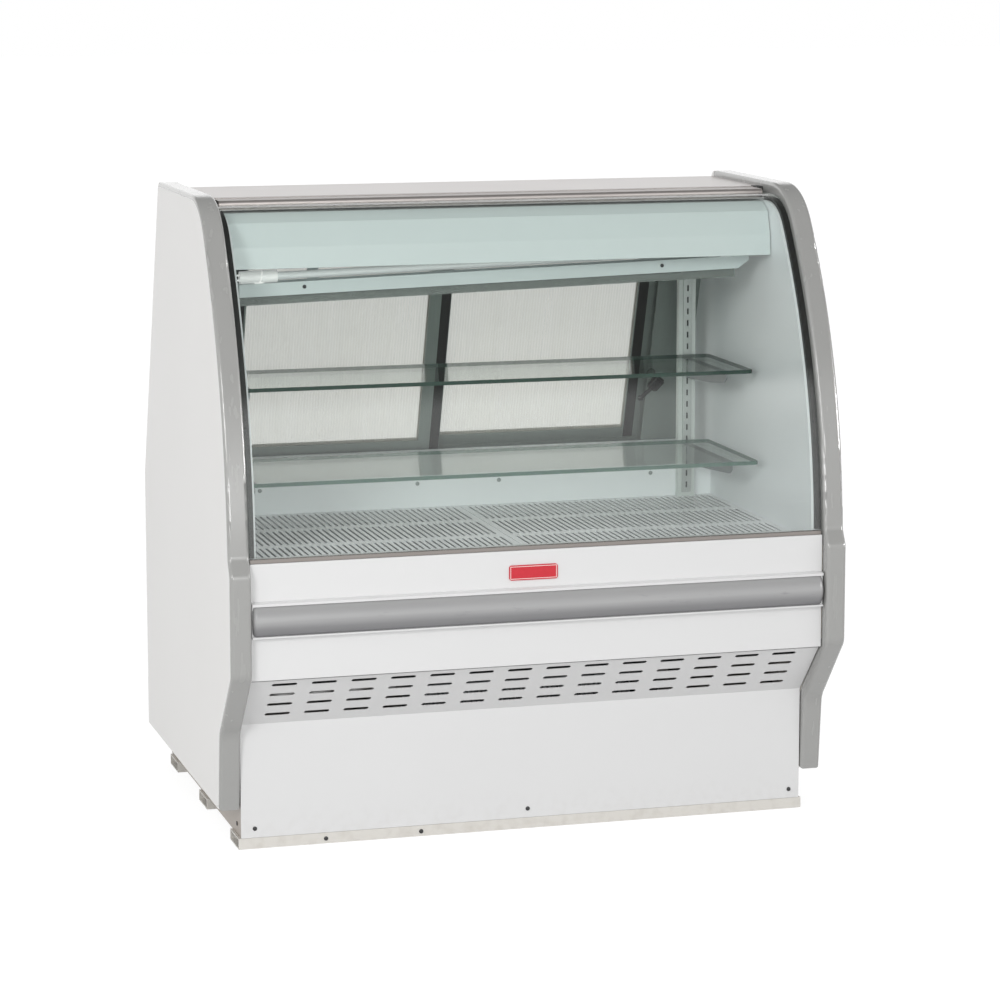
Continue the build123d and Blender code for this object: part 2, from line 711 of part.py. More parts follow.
def duct_cover():
    """Cover of the rear air duct: upright face behind the deck, then a ledge up to the doors."""
    low = PAN_FOOT_Z - SHEET
    inner_d = DUCT_D + SHEET
    section = side_face([
        (645, low), (645, PAN_FOOT_Z), (DUCT_D, PAN_FOOT_Z), (DUCT_D, 650), (850, 675),
        (850, 673.8), (inner_d, 649), (inner_d, low),
    ])
    return across(section, -INNER_X, INNER_X)


def deck_pan(side):
    """Slotted lift-out pan, one half of the deck."""
    x0 = 1.0
    x1 = INNER_X - 1
    front = 95.0
    back = DUCT_D - 1
    pan = block(x0, x1, front, back, PAN_FOOT_Z, DECK_Z)
    pan -= block(x0 + SHEET, x1 - SHEET, front + SHEET, back - SHEET, PAN_FOOT_Z - 1, DECK_Z - SHEET)
    slots = []
    for row in range(DECK_SLOT_ROWS):
        for column in range(DECK_SLOT_COLUMNS):
            place = Pos(DECK_SLOT_X + DECK_SLOT_PITCH * column, at(front + 100 + 182 * row), DECK_Z - 3)
            slots.append(place * Rot(0, 0, 90) * SlotOverall(156, 5.5))
    pan -= [extrude(slot, amount=6) for slot in slots]
    clear = POST_HALF_W + 1
    post = block(POST_X - clear, POST_X + clear, POST_D - 1, 660, DECK_Z - 30, DECK_Z + 1)
    pan -= post
    return pan if side > 0 else mirror(pan, Plane.YZ)


# ---- Cooling parts --------------------------------------------------------
EVAP_FAN_D = 330.0
EVAP_FAN_Z = 462.0
EVAP_FAN_R = 80.0
EVAP_SHAFT_R = 4.0
COND_FAN_D = 245.0
COND_FAN_Z = 165.0
COND_FAN_R = 106.0
COND_SHAFT_R = 5.0
COMPRESSOR_X = 330.0
COMPRESSOR_D = 560.0
HOT_GAS_D = 452.0        # end of the compressor's outlet stub
HOT_GAS_Z = 130.0
SUCTION_D = 668.0        # end of its inlet stub
SUCTION_Z = 150.0
COIL_PIPE_X = 232.0      # where the pipes meet the condenser
COIL_PIPE_D = 196.0


def finned_block(x0, x1, d0, d1, z0, z1, count):
    """Tube-and-fin block: a core with fins standing out in front and behind."""
    body = block(x0, x1, d0, d1, z0, z1)
    pitch = (x1 - x0) / count
    depth = (d1 - d0) * 0.3
    for i in range(count):
        left = x0 + pitch * i + pitch * 0.25
        for start, end in ((d0 - 1, d0 + depth), (d1 - depth, d1 + 1)):
            body -= block(left, left + pitch * 0.5, start, end, z0 - 1, z1 + 1)
    return body


def fan(depth, z, radius, hub_r, shaft_r):
    """Five-bladed axial fan, which turns about Y."""
    wheel = rod_y(0, depth - 12, depth + 12, z, hub_r)
    blade_length = radius - hub_r + 6
    for i in range(5):
        blade = Pos(0, 0, hub_r - 6 + blade_length / 2) * Rot(0, 0, 32) * Box(hub_r * 1.7, 2.5, blade_length)
        wheel += Pos(0, at(depth), z) * Rot(0, 72 * i, 0) * blade
    return wheel - rod_y(0, depth - 20, depth + 20, z, shaft_r + PIN_CLEARANCE)


def fan_motor(depth, z, radius, floor_z, shaft_r):
    """Motor can behind a fan, its shaft, and the foot that holds it."""
    motor = rod_y(0, depth + 18, depth + 78, z, radius)
    motor += rod_y(0, depth - 14, depth + 20, z, shaft_r)
    motor += block(-radius * 0.6, radius * 0.6, depth + 40, depth + 60, floor_z, z)
    motor += block(-radius * 1.3, radius * 1.3, depth + 30, depth + 70, floor_z, floor_z + 3)
    return motor


def evaporator_fan_plate():
    """Upright plate that parts the air sides, holed for the fan, and carries the deck."""
    half = INNER_X - 0.5
    plate = block(-half, half, EVAP_FAN_D - 1, EVAP_FAN_D + 1, TUB_FLOOR_Z, PAN_FOOT_Z)
    return plate - rod_y(0, EVAP_FAN_D - 5, EVAP_FAN_D + 5, EVAP_FAN_Z, EVAP_FAN_R + 4)


def evaporator_coil():
    """Finned coil under the deck with end plates and return bends."""
    coil = finned_block(-430, 430, 470, 620, 372, 500, 43)
    for side in (-1, 1):
        coil += block(side * 430, side * 433, 465, 625, TUB_FLOOR_Z, 508)
        for z in (400, 440, 480):
            for depth in (500, 560):
                bend = Torus(15, 5) - Pos(-30 * side, 0, 0) * Box(60, 60, 20)
                coil += Pos(side * 432, at(depth + 15), z) * bend
    return coil


def condenser_coil():
    """Finned coil behind the grille, in a sheet surround with a hole for the fan."""
    coil = finned_block(-220, 220, 176, 216, 40, 290, 44)
    surround = block(-232, 232, 174, 246, 26, 302)
    surround -= block(-230, 230, 170, 244.5, 28, 300)
    surround -= rod_y(0, COND_FAN_D - 5, COND_FAN_D + 5, COND_FAN_Z, COND_FAN_R + 6)
    for side in (-1, 1):
        surround += block(side * 219, side * 231, 178, 214, 60, 280)
    return coil + surround


def compressor():
    """Sealed compressor: domed can on a foot plate."""
    can = rod_z(COMPRESSOR_X, COMPRESSOR_D, 44, 222, 88)
    can = fillet(can.edges().filter_by(GeomType.CIRCLE), 36)
    foot = block(225, 435, 465, 655, 36, 40)
    pads = [rod_z(x, d, RUNNER_H + 2, 36, 12) for x in (245, 415) for d in (485, 635)]
    body = can + foot + rod_z(COMPRESSOR_X, COMPRESSOR_D, 40, 60, 50)
    for pad in pads:
        body += pad
    body += block(410, 440, 530, 590, 90, 160)
    body += rod_y(COMPRESSOR_X, HOT_GAS_D, 500, HOT_GAS_Z, 6)
    body += rod_y(COMPRESSOR_X, 620, SUCTION_D, SUCTION_Z, 8)
    return body


def pipe(points, radius):
    """Copper pipe with rounded bends through (x, depth, z) points."""
    path = FilletPolyline([(x, at(d), z) for x, d, z in points], radius=22)
    start = Plane(origin=path @ 0, z_dir=path % 0)
    return sweep(start * Circle(radius), path=path)


def refrigerant_lines():
    """Hot gas, liquid and suction pipes."""
    x, d = COMPRESSOR_X, COIL_PIPE_D
    hot = pipe([(x, HOT_GAS_D, HOT_GAS_Z), (x, d, HOT_GAS_Z), (COIL_PIPE_X, d, HOT_GAS_Z)], 4)
    liquid = pipe([(-COIL_PIPE_X, d, 80), (-x, d, 80), (-x, 420, 80), (-x, 420, TUB_BOTTOM_Z)], 4)
    suction = pipe([(x, SUCTION_D, SUCTION_Z), (x, 730, SUCTION_Z), (x, 730, TUB_BOTTOM_Z)], 6)
    return Compound(children=[hot.solid(), liquid.solid(), suction.solid()])


DRAIN_X = -420.0
DRAIN_Z = 150.0
DRAIN_D = 700.0          # where the drain leaves the tub
SPIGOT_R = 10.65         # half-inch pipe size
SPIGOT_D = 880.0         # where the spigot starts
SPIGOT_END_D = 922.0


def drain_tube():
    """Drain from the tub's floor, turned to a hose spigot at the back."""
    corner = (DRAIN_X, at(DRAIN_D), DRAIN_Z)
    path = FilletPolyline(
        [(DRAIN_X, at(DRAIN_D), TUB_BOTTOM_Z), corner, (DRAIN_X, at(SPIGOT_END_D), DRAIN_Z)], radius=50
    )
    start = Plane(origin=path @ 0, z_dir=path % 0)
    outer = sweep(start * Circle(9.8), path=path)
    outer += rod_y(DRAIN_X, SPIGOT_D, SPIGOT_END_D, DRAIN_Z, SPIGOT_R)
    return outer - sweep(start * Circle(8), path=path)


# ---- Rear service side ----------------------------------------------------
SERVICE_D = 904.0        # inner face of the service panel
LOUVRE_ROWS = 5
LOUVRE_COLUMNS = 10
LOUVRE_X = -480.0
LOUVRE_Z = 130.0
LOUVRE_PITCH_X = 75.0
LOUVRE_PITCH_Z = 30.0
BOX_X = 400.0
BOX_Z = 230.0
BOX_BACK_D = 820.0       # its inner end
BOX_HALF_W = 90.0
BOX_HALF_H = 45.0
BOX_D = 912.0            # outer face of the control box
KNOB_X = BOX_X + 40
GLAND_Z = BOX_Z - 22
SWITCH_X = BOX_X - 40
SWITCH_D = 905.0         # axle of the rocker


def service_panel():
    """Louvred sheet that closes the machine space at the back."""
    low, high = 90.0, TUB_BOTTOM_Z - 2
    panel = block(-BASE_X, BASE_X, SERVICE_D, SERVICE_D + SHEET, low, high)
    for side in (-1, 1):
        panel += block(side * BASE_X, side * (BASE_X - SHEET), 880, SERVICE_D + 1, low, high)
    for row in range(LOUVRE_ROWS):
        for column in range(LOUVRE_COLUMNS):
            x = LOUVRE_X + LOUVRE_PITCH_X * column
            z = LOUVRE_Z + LOUVRE_PITCH_Z * row
            panel -= block(x - 28, x + 28, 900, 910, z, z + 6)
    gap = 1.0
    panel -= block(
        BOX_X - BOX_HALF_W - gap, BOX_X + BOX_HALF_W + gap, 900, 910,
        BOX_Z - BOX_HALF_H - gap, BOX_Z + BOX_HALF_H + gap,
    )
    return panel - rod_y(DRAIN_X, 895, 912, DRAIN_Z, 18)


def control_box():
    """Electrical box set in the service panel, with the supply gland beside it."""
    wall = 2.0
    box = block(
        BOX_X - BOX_HALF_W, BOX_X + BOX_HALF_W, BOX_BACK_D, BOX_D,
        BOX_Z - BOX_HALF_H, BOX_Z + BOX_HALF_H,
    )
    box -= block(
        BOX_X - BOX_HALF_W + wall, BOX_X + BOX_HALF_W - wall, BOX_BACK_D + wall, BOX_D - wall,
        BOX_Z - BOX_HALF_H + wall, BOX_Z + BOX_HALF_H - wall,
    )
    box -= rod_y(KNOB_X, 905, 915, BOX_Z, 6)
    box -= block(SWITCH_X - 11, SWITCH_X + 11, 905, 915, BOX_Z - 14, BOX_Z + 14)
    for side in (-1, 1):
        near, far = SWITCH_X + side * 11.2, SWITCH_X + side * 14
        box += block(near, far, SWITCH_D - 4, BOX_D - wall, BOX_Z - 5, BOX_Z + 5)
    box -= rod_x(SWITCH_X - 13.5, SWITCH_X + 13.5, SWITCH_D, BOX_Z, 1.55)
    box -= rod_y(BOX_X, 905, 915, GLAND_Z, 10)
    gland = rod_y(BOX_X, 904, 923, GLAND_Z, 10)
    gland += rod_y(BOX_X, BOX_D, 918, GLAND_Z, 14)
    gland -= rod_y(BOX_X, 900, 925, GLAND_Z, 5)
    return Compound(children=[box.solid(), gland.solid()])


def thermostat_knob():
    """Round knob on its shaft."""
    knob = rod_y(KNOB_X, BOX_D + 0.5, 923.5, BOX_Z, 17)
    knob = fillet(knob.edges().filter_by(GeomType.CIRCLE).sort_by(Axis.Y)[-1], 2)
    return knob + rod_y(KNOB_X, 890, 913, BOX_Z, 5.95)


def light_switch():
    """Rocker that tips about X on two stub axles behind the box's opening."""
    face = side_face([(898, BOX_Z - 9), (911, BOX_Z - 12), (917, BOX_Z - 13), (914.5, BOX_Z),
                      (917, BOX_Z + 13), (911, BOX_Z + 12), (898, BOX_Z + 9)])
    rocker = across(face, SWITCH_X - 10.5, SWITCH_X + 10.5)
    return rocker + rod_x(SWITCH_X - 13.2, SWITCH_X + 13.2, SWITCH_D, BOX_Z, 1.5)


# ---- Screws ---------------------------------------------------------------
HEAD_R = 4.5
HEAD_T = 2.5


def screws():
    """Pan heads on the kick plate, base sides, front runner, duct cover and lamp channel."""
    heads = [rod_y(x, KICK_D - HEAD_T, KICK_D, 41, HEAD_R) for x in (-563, 3, 569)]
    heads += [rod_y(x, RUNNER_DEPTHS[0] - HEAD_T, RUNNER_DEPTHS[0], 10, HEAD_R) for x in (-418, -221)]
    heads += [rod_x(side * BASE_X, side * (BASE_X + 2), 176, 44, HEAD_R) for side in (-1, 1)]
    heads += [rod_y(x, DUCT_D - HEAD_T, DUCT_D, 633, HEAD_R) for x in (-436, -91, 91, 436)]
    heads += [tilted(Pos(x, -1.25, LAMP_SCREW_Z) * Rot(90, 0, 0) * Cylinder(4, 2.5)) for x in LAMP_SCREW_X]
    return Compound(children=[head.solid() for head in heads])


# ---- Write every node -----------------------------------------------------
def main():
    os.makedirs("parts", exist_ok=True)
    right_side = {
        "end_panel": end_panel(),
        "end_liner": end_liner(),
        "end_trim": end_trim(),
    }
    for name, shape in right_side.items():
        save(f"{name}_right", shape)
        save(f"{name}_left", mirror(shape, Plane.YZ))
    foam = [*both_sides(end_foam()).solids(), *tub_foam().solids()]
    save("foam_insulation", Compound(children=foam))
    nodes = {
        "cross_runners": cross_runners(),
        "base_frame": base_frame(),
        "kick_panel": kick_panel(),
        "front_panel": front_panel(),
        "bumper_rail": bumper_rail(),
        "bumper_insert": bumper_insert(),
        "bumper_end_caps": bumper_end_caps(),
        "name_plate": name_plate(),
        "top_panel": top_panel(),
        "top_rail": top_rail(),
        "glass_hinge_bushes": glass_hinge_bushes(),
        "canopy_liner": canopy_liner(),
        "lamp_channel": lamp_channel(),
        "lamp_diffuser": lamp_diffuser(),
        "lamp_tube": lamp_tube(),
        "lamp_holders": lamp_holders(),
        "front_glass": front_glass(),
        "glass_hinge_profile": glass_hinge_profile(),
        "glass_hinge_pins": glass_hinge_pins(),
        "glass_edge_rail": glass_edge_rail(),
        "glass_seals": glass_seals(),
        "rear_door_frame": rear_door_frame(),
        "door_left_frame": door_frame(LEFT_DOOR),
        "door_left_pane": door_glass(LEFT_DOOR, 6),
        "door_left_strips": door_strips(LEFT_DOOR),
        "door_right_frame": door_frame(RIGHT_DOOR),
        "door_right_pane": door_glass(RIGHT_DOOR, 6),
        "door_right_strips": door_strips(RIGHT_DOOR),
        "rear_posts": rear_posts(),
        "pilasters": pilasters(),
        "shelf_brackets": shelf_brackets(),
        "upper_shelf": glass_shelf(UPPER_SHELF_Z, 352),
        "lower_shelf": glass_shelf(LOWER_SHELF_Z, 312),
        "tub_shell": tub_shell(),
        "tub_liner": tub_liner(),
        "duct_cover": duct_cover(),
        "deck_pan_left": deck_pan(-1),
        "deck_pan_right": deck_pan(1),
        "evaporator_coil": evaporator_coil(),
        "evaporator_fan_plate": evaporator_fan_plate(),
        "evaporator_fan": fan(EVAP_FAN_D, EVAP_FAN_Z, EVAP_FAN_R, 22, EVAP_SHAFT_R),
        "evaporator_fan_motor": fan_motor(EVAP_FAN_D, EVAP_FAN_Z, 28, TUB_FLOOR_Z, EVAP_SHAFT_R),
        "condenser_coil": condenser_coil(),
        "condenser_fan": fan(COND_FAN_D, COND_FAN_Z, COND_FAN_R, 28, COND_SHAFT_R),
        "condenser_fan_motor": fan_motor(COND_FAN_D, COND_FAN_Z, 42, RUNNER_H + 2, COND_SHAFT_R),
        "compressor": compressor(),
        "refrigerant_lines": refrigerant_lines(),
        "drain_tube": drain_tube(),
        "service_panel": service_panel(),
        "control_box": control_box(),
        "thermostat_knob": thermostat_knob(),
        "light_switch": light_switch(),
        "screws": screws(),
    }
    for name, shape in nodes.items():
        save(name, shape)


main()
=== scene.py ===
import math

import bmesh
import bpy
from mathutils import Matrix, Vector


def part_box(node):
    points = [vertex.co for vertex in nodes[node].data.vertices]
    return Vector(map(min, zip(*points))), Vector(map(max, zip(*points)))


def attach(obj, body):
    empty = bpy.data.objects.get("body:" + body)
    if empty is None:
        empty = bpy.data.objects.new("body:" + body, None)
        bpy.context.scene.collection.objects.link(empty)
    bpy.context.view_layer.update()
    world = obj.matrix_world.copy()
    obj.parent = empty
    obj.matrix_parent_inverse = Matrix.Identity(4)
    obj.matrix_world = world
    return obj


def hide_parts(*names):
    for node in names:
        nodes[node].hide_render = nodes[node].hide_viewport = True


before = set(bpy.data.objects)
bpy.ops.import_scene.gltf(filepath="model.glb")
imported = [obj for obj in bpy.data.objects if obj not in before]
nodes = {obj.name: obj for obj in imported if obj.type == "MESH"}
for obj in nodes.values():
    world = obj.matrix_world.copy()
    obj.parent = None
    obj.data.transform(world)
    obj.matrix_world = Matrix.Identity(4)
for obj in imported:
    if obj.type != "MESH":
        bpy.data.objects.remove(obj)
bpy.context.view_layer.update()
scene = bpy.context.scene


# ---- Camera, floor and light ------------------------------------------------
# A long lens a little above the case and off to its left, over a plain white
# studio floor. Even white light all round, a soft key on the left, a low fill, and
# a lamp at the right that shows only in what shines.
camera = bpy.data.objects.new("camera", bpy.data.cameras.new("camera"))
camera.location = (-1.9148, -6.7739, 1.8230)
camera.rotation_euler = (math.radians(81.5), 0, math.radians(-16.08))
camera.data.lens = 122.4
camera.data.shift_y = -0.069
scene.collection.objects.link(camera)
scene.camera = camera
scene.view_settings.view_transform = "Standard"


class Wire:
    """An output of a shader node. Arithmetic adds Math nodes, and node() adds any other node."""

    def __init__(self, socket):
        self.socket = socket

    def node(self, kind, settings=None, inputs=None, output=0):
        """Add a node: its settings first, then the values or links of its inputs."""
        made = self.socket.id_data.nodes.new(kind)
        for key, value in (settings or {}).items():
            setattr(made, key, value)
        for key, value in (inputs or {}).items():
            if isinstance(value, Wire):
                self.socket.id_data.links.new(value.socket, made.inputs[key])
            else:
                made.inputs[key].default_value = value
        return Wire(made.outputs[output])

    def math(self, operation, *others):
        return self.node("ShaderNodeMath", {"operation": operation}, dict(enumerate(others)))

    def __add__(self, other):
        return self.math("ADD", self, other)

    __radd__ = __add__

    def __sub__(self, other):
        return self.math("SUBTRACT", self, other)

    def __rsub__(self, other):
        return self.math("SUBTRACT", other, self)

    def __mul__(self, other):
        return self.math("MULTIPLY", self, other)

    __rmul__ = __mul__

    def __truediv__(self, other):
        return self.math("DIVIDE", self, other)

    def __pow__(self, other):
        return self.math("POWER", self, other)

    def __gt__(self, other):
        return self.math("GREATER_THAN", self, other)

    def __lt__(self, other):
        return self.math("LESS_THAN", self, other)


def spread(wire, low, high, out_low=0.0, out_high=1.0):
    """Map a range of a wire onto another, and stop at its ends."""
    return wire.node(
        "ShaderNodeMapRange", None,
        {"Value": wire, "From Min": low, "From Max": high, "To Min": out_low, "To Max": out_high},
    )


def absolute(wire):
    """Size of a wire's value, without its sign."""
    return wire.math("ABSOLUTE", wire)


def axes(place):
    """The three coordinates of a place as wires."""
    outputs = place.node("ShaderNodeSeparateXYZ", None, {0: place}).socket.node.outputs
    return Wire(outputs["X"]), Wire(outputs["Y"]), Wire(outputs["Z"])


def soft_light(name, place, aim, size, watts):
    """Square area lamp that looks at a point."""
    lamp = bpy.data.objects.new(name, bpy.data.lights.new(name, "AREA"))
    lamp.data.size = size
    lamp.data.energy = watts
    lamp.location = place
    lamp.rotation_euler = (Vector(aim) - Vector(place)).to_track_quat("-Z", "Y").to_euler()
    scene.collection.objects.link(lamp)
    return lamp


def studio_world(day_strength, low_gloss, high_gloss):
    """White room; what shines sees it pale near the floor and dim above."""
    world = bpy.data.worlds.new("studio")
    world.use_nodes = True
    sky = Wire(world.node_tree.nodes["Background"].outputs[0])
    path = sky.node("ShaderNodeLightPath").socket.node.outputs
    height = axes(sky.node("ShaderNodeTexCoord"))[2]
    gloss = spread(height, 0.38, 0.46, low_gloss, high_gloss)
    glossy = Wire(path["Is Glossy Ray"])
    day = glossy * gloss + (1 - glossy) * day_strength
    seen = Wire(path["Is Camera Ray"])
    strength = seen + (1 - seen) * day
    background = world.node_tree.nodes["Background"]
    background.inputs["Color"].default_value = (1, 1, 1, 1)
    world.node_tree.links.new(strength.socket, background.inputs["Strength"])
    return world


scene.world = studio_world(0.72, 1.4, 0.2)
soft_light("key_light", (-3.6, -4.7, 2.9), (0, 0, 0.7), 1.5, 115)
soft_light("front_fill", (-0.4, -6.6, 1.5), (0, 0, 0.8), 1.6, 85)
rim_light = soft_light("rim_light", (3.6, -2.6, 1.6), (0.6, 0, 0.9), 1.0, 120)
rim_light.visible_diffuse = False

FLOOR_HALF = 40
FLOOR_Z = -0.0005


def studio_floor():
    """Matt grey floor for the light it sends back; straight on and in reflections it is near white."""
    corners = [(x, y, FLOOR_Z) for x, y in ((-1, -1), (1, -1), (1, 1), (-1, 1))]
    corners = [(x * FLOOR_HALF, y * FLOOR_HALF, z) for x, y, z in corners]
    mesh = bpy.data.meshes.new("studio_floor")
    mesh.from_pydata(corners, [], [(0, 1, 2, 3)])
    paint = bpy.data.materials.new("studio_floor")
    paint.use_nodes = True
    tree = paint.node_tree
    shader = tree.nodes["Principled BSDF"]
    shader.inputs["Base Color"].default_value = (0.62, 0.62, 0.62, 1)
    shader.inputs["Roughness"].default_value = 0.9
    matt = Wire(shader.outputs[0])
    path = matt.node("ShaderNodeLightPath").socket.node.outputs
    white_share = Wire(path["Is Camera Ray"]) * 0.62 + Wire(path["Is Glossy Ray"]) * 0.9
    glow = matt.node("ShaderNodeEmission", None, {"Strength": 1.4})
    look = matt.node("ShaderNodeMixShader", None, {0: white_share, 1: matt, 2: glow})
    tree.links.new(look.socket, tree.nodes["Material Output"].inputs["Surface"])
    mesh.materials.append(paint)
    floor = bpy.data.objects.new("studio_floor", mesh)
    scene.collection.objects.link(floor)
    return floor


studio_floor()


# ---- Painted steel panels ----------------------------------------------------
# Front, kick plate, base tray, top, bumper carrier and service panel are bent
# sheet steel with a satin white powder coat, a little scuffed near the floor.
def tone(hexadecimal):
    """Linear colour, with alpha, from a six-figure sRGB one."""
    parts = [int(hexadecimal[i:i + 2], 16) / 255 for i in (0, 2, 4)]
    return [p / 12.92 if p <= 0.04045 else ((p + 0.055) / 1.055) ** 2.4 for p in parts] + [1]


def start_finish(name, colour, roughness, **fixed):
    """New material with one Principled shader; gives it, the shader and its Object coordinates."""
    material = bpy.data.materials.new(name)
    material.use_nodes = True
    shader = material.node_tree.nodes["Principled BSDF"]
    shader.inputs["Base Color"].default_value = tone(colour)
    shader.inputs["Roughness"].default_value = roughness
    for key, value in fixed.items():
        shader.inputs[key.replace("_", " ")].default_value = value
    coordinates = material.node_tree.nodes.new("ShaderNodeTexCoord")
    return material, shader, Wire(coordinates.outputs["Object"])


def feed(shader, name, wire):
    """Link a wire to one of the shader's inputs."""
    shader.id_data.links.new(wire.socket, shader.inputs[name])


def noise(place, scale, detail=2.0, stretch=None):
    """Soft noise from 0 to 1, stretched along the axes if asked."""
    if stretch:
        place = place.node("ShaderNodeMapping", None, {0: place, "Scale": stretch})
    return place.node("ShaderNodeTexNoise", None, {"Vector": place, "Scale": scale, "Detail": detail})


def between(factor, low, high):
    """Colour between two, by a factor."""
    return factor.node("ShaderNodeMix", {"data_type": "RGBA"}, {0: factor, 6: low, 7: high}, output=2)


def bump(height, strength, distance):
    """Normal from a height in metres."""
    return height.node("ShaderNodeBump", None, {"Height": height, "Strength": strength, "Distance": distance})


def dress(material, *names):
    """Give CAD nodes this material."""
    for name in names:
        mesh = nodes[name].data
        mesh.materials.clear()
        mesh.materials.append(material)


def shade(colour, factor):
    """A colour made darker or lighter by a factor."""
    return [part * factor for part in tone(colour)[:3]] + [1]


def powder_coat(name, colour, scuffed, roughness=0.36):
    """Satin powder coat with faint orange peel; scuffed darkens the lowest few centimetres."""
    material, shader, place = start_finish(name, colour, roughness)
    cloud = noise(place, 2.4, 3)
    speck = noise(place, 46, 4)
    grime = spread(axes(place)[2], 0.0, 0.09, 1.0, 0.0) * spread(speck, 0.45, 0.8)
    clean = between(cloud, shade(colour, 0.98), tone(colour))
    feed(shader, "Base Color", between(grime * scuffed, clean, tone("A79F96")))
    feed(shader, "Roughness", roughness - 0.05 + cloud * 0.1 + grime * 0.1)
    feed(shader, "Normal", bump(noise(place, 700, 2), 0.12, 0.0002))
    return material


white_coat = powder_coat("white_powder_coat", "D9D9D9", 0.15)
dress(white_coat, "front_panel", "kick_panel", "bumper_rail", "service_panel")
# The top panel takes a darker, warmer copy of the white coat: painted shade, because the light falls from the
# front rather than from above.
dress(powder_coat("top_powder_coat_painted_shade", "CDC8C6", 0.0), "top_panel")


def base_coat():
    """The base tray's paint, darker and browner on its two outer sides: painted shade together with grime."""
    material, shader, place = start_finish("base_powder_coat", "CFC9C2", 0.42)
    across = axes(place)[0]
    outer = absolute(across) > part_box("base_frame")[1][0] - 0.0005
    cloud = noise(place, 9, 4)
    front = between(cloud, tone("C6C0B8"), tone("D3CEC8"))
    # Painted shade and grime: the outer sides get a darker brown tone.
    side = between(cloud, tone("867B70"), tone("A0968C"))
    feed(shader, "Base Color", between(outer, front, side))
    feed(shader, "Roughness", 0.38 + cloud * 0.1)
    feed(shader, "Normal", bump(noise(place, 500, 2), 0.12, 0.0002))
    return material


dress(base_coat(), "base_frame")
dress(powder_coat("end_wall_powder_coat", "E0DFDD", 0.15, 0.38), "end_panel_left", "end_panel_right")
dress(powder_coat("runner_paint", "D4D1CB", 0.35, 0.45), "cross_runners")


# ---- Grey trims and bumper ---------------------------------------------------
# The end trims are glossy moulded plastic; the bumper is a softer vinyl strip,
# painted paler along its crown as a highlight and darker low down as shade.
def moulded(name, colour, roughness, grain, coat=0.0):
    """Moulded plastic: slight clouding, fine grain, and small scratches in its gloss."""
    material, shader, place = start_finish(name, colour, roughness, Coat_Roughness=0.12)
    cloud = noise(place, 5, 3)
    scratch = spread(noise(place, 60, 5, (1, 1, 0.12)), 0.62, 0.7)
    feed(shader, "Base Color", between(cloud, shade(colour, 0.96), shade(colour, 1.04)))
    feed(shader, "Roughness", roughness - 0.04 + cloud * 0.08 + scratch * 0.12)
    feed(shader, "Normal", bump(noise(place, grain, 2), 0.08, 0.0002))
    shader.inputs["Coat Weight"].default_value = coat
    return material


def bumper_vinyl():
    """Grey vinyl with a painted highlight along its crown and painted shade in its lower half."""
    material, shader, place = start_finish("bumper_vinyl", "A2A2A2", 0.32)
    low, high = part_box("bumper_insert")
    height = spread(axes(place)[2], low[2], high[2])
    crown = 1 - spread(absolute(height - 0.55), 0.0, 0.3)
    streak = noise(place, 14, 4, (0.12, 1, 3))
    scuff = spread(noise(place, 90, 4, (0.2, 1, 1)), 0.63, 0.72) * crown
    # Painted shade: darker towards the bottom of the strip, lighter at its top.
    body = between(height, tone("757577"), tone("9F9F9F"))
    # Painted highlight along the crown, broken into streaks; the dark scuffs below are wear.
    wear_and_sheen = between(crown * streak, body, tone("ABABAB"))
    feed(shader, "Base Color", between(scuff * 0.5, wear_and_sheen, tone("77777A")))
    feed(shader, "Roughness", 0.28 + streak * 0.16)
    feed(shader, "Normal", bump(noise(place, 900, 2), 0.06, 0.0002))
    return material


dress(moulded("trim_plastic", "989896", 0.24, 500, 0.35), "end_trim_left", "end_trim_right")
dress(bumper_vinyl(), "bumper_insert", "bumper_end_caps")


# ---- Glass -------------------------------------------------------------------
# Clear glass lets light straight through and shines more at glancing angles.
# The shelves are plate glass, which looks dark green through its edges.
def clear_glass(name, tint, edge=None, shine=1.0):
    """Thin clear glass; with an edge colour, faces that don't look up or down are that colour."""
    material = bpy.data.materials.new(name)
    material.use_nodes = True
    tree = material.node_tree
    rim = tree.nodes["Principled BSDF"]
    layer = tree.nodes.new("ShaderNodeLayerWeight")
    layer.inputs["Blend"].default_value = 0.5
    facing = Wire(layer.outputs["Facing"])
    gleam = (facing ** 5 * 0.96 + 0.04) * shine
    through = gleam.node("ShaderNodeBsdfTransparent", None, {"Color": tone(tint)})
    gloss = gleam.node("ShaderNodeBsdfGlossy", None, {"Roughness": 0.015})
    pane = gleam.node("ShaderNodeMixShader", None, {0: gleam, 1: through, 2: gloss})
    if edge:
        geometry = tree.nodes.new("ShaderNodeNewGeometry")
        upright = axes(Wire(geometry.outputs["Normal"]))[2]
        is_edge = absolute(upright) < 0.6
        rim.inputs["Base Color"].default_value = tone(edge)
        rim.inputs["Roughness"].default_value = 0.12
        pane = gleam.node("ShaderNodeMixShader", None, {0: is_edge, 1: pane, 2: Wire(rim.outputs[0])})
    else:
        tree.nodes.remove(rim)
    tree.links.new(pane.socket, tree.nodes["Material Output"].inputs["Surface"])
    return material


dress(clear_glass("curved_glass", "FBFDFC"), "front_glass")
dress(clear_glass("upper_shelf_glass", "F7FAF8", "12352A", 0.6), "upper_shelf")
dress(clear_glass("lower_shelf_glass", "F7FAF8", "48655B", 0.45), "lower_shelf")


# ---- Glass seals, rails and hinge -------------------------------------------
# Black vinyl bulbs between glass and linings, and brushed anodised aluminium
# for the hinge profile, its rail and the lifting edge at the sill.
def brushed(name, colour, roughness, stretch=(0.03, 1, 1), metallic=0.75):
    """Brushed or extruded metal, with its lines along the axis that is stretched."""
    material, shader, place = start_finish(name, colour, roughness, Metallic=metallic)
    line = noise(place, 420, 3, stretch)
    cloud = noise(place, 3, 3)
    feed(shader, "Base Color", between(line, shade(colour, 0.9), shade(colour, 1.08)))
    feed(shader, "Roughness", roughness - 0.06 + line * 0.1 + cloud * 0.06)
    feed(shader, "Normal", bump(line, 0.1, 0.0001))
    return material


